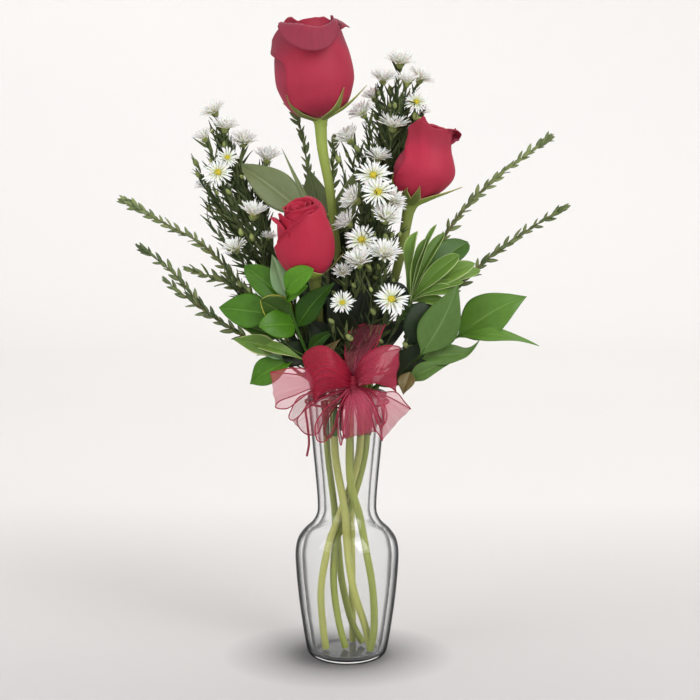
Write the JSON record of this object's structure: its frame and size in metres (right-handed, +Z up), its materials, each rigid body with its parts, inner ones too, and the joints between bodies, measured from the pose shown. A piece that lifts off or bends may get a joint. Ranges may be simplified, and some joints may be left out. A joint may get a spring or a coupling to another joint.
{
  "type": "roses in a vase",
  "caption": "Red roses with white asters and mixed green foliage in a clear glass bud vase, tied at the rim with a sheer red ribbon bow.",
  "frame": {"origin": "centre of the vase's foot, on the surface it stands on", "axes": "+Z up along the vase's axis; the front of the arrangement, with the bow, faces -Y; +X is to the right as seen from the front"},
  "size_m": [0.3048, 0.1149, 0.4477],
  "materials": {
    "glass": "gloss",
    "petal": "satin",
    "stem": "satin",
    "leaf": "satin",
    "dark_leaf": "satin",
    "olive_leaf": "satin",
    "myrtle": "matte",
    "aster_flower": "matte",
    "aster_green": "matte",
    "ribbon": "satin"
  },
  "bodies": {
    "root": {"vase": "glass", "rose_1_bloom": "petal", "rose_1_stem": "stem", "rose_2_bloom": "petal", "rose_2_stem": "stem", "rose_3_bloom": "petal", "rose_3_stem": "stem", "ribbon_bow": "ribbon", "bow_tie": "ribbon", "aster_left_flower_1": "aster_flower", "aster_left_flower_2": "aster_flower", "aster_left_flower_3": "aster_flower", "aster_left_flower_4": "aster_flower", "aster_left_flower_5": "aster_flower", "aster_left_flower_6": "aster_flower", "aster_left_flower_7": "aster_flower", "aster_left_flower_8": "aster_flower", "aster_left_flower_9": "aster_flower", "aster_left_flower_10": "aster_flower", "aster_left_flower_11": "aster_flower", "aster_right_flower_1": "aster_flower", "aster_right_flower_2": "aster_flower", "aster_right_flower_3": "aster_flower", "aster_right_flower_4": "aster_flower", "aster_right_flower_5": "aster_flower", "aster_right_flower_6": "aster_flower", "aster_right_flower_7": "aster_flower", "aster_right_flower_8": "aster_flower", "aster_right_flower_9": "aster_flower", "aster_right_flower_10": "aster_flower", "aster_right_flower_11": "aster_flower", "aster_centre_flower_1": "aster_flower", "aster_centre_flower_2": "aster_flower", "aster_centre_flower_3": "aster_flower", "aster_centre_flower_4": "aster_flower", "aster_centre_flower_5": "aster_flower", "aster_centre_flower_6": "aster_flower", "aster_centre_flower_7": "aster_flower", "aster_centre_flower_8": "aster_flower", "aster_centre_flower_9": "aster_flower", "aster_centre_flower_10": "aster_flower", "aster_centre_flower_11": "aster_flower", "aster_centre_flower_12": "aster_flower", "aster_left_spray": "aster_green", "aster_right_spray": "aster_green", "aster_centre_spray": "aster_green", "ruscus_left": "leaf", "pittosporum_right": "leaf", "salal_right": "leaf", "broad_leaves": "olive_leaf", "dark_leaves_front": "dark_leaf", "dark_leaves_back": "dark_leaf", "myrtle_left_high": "myrtle", "myrtle_left_low": "myrtle", "myrtle_right_high": "myrtle", "myrtle_right_low": "myrtle", "myrtle_top": "myrtle"}
  },
  "joints": []
}
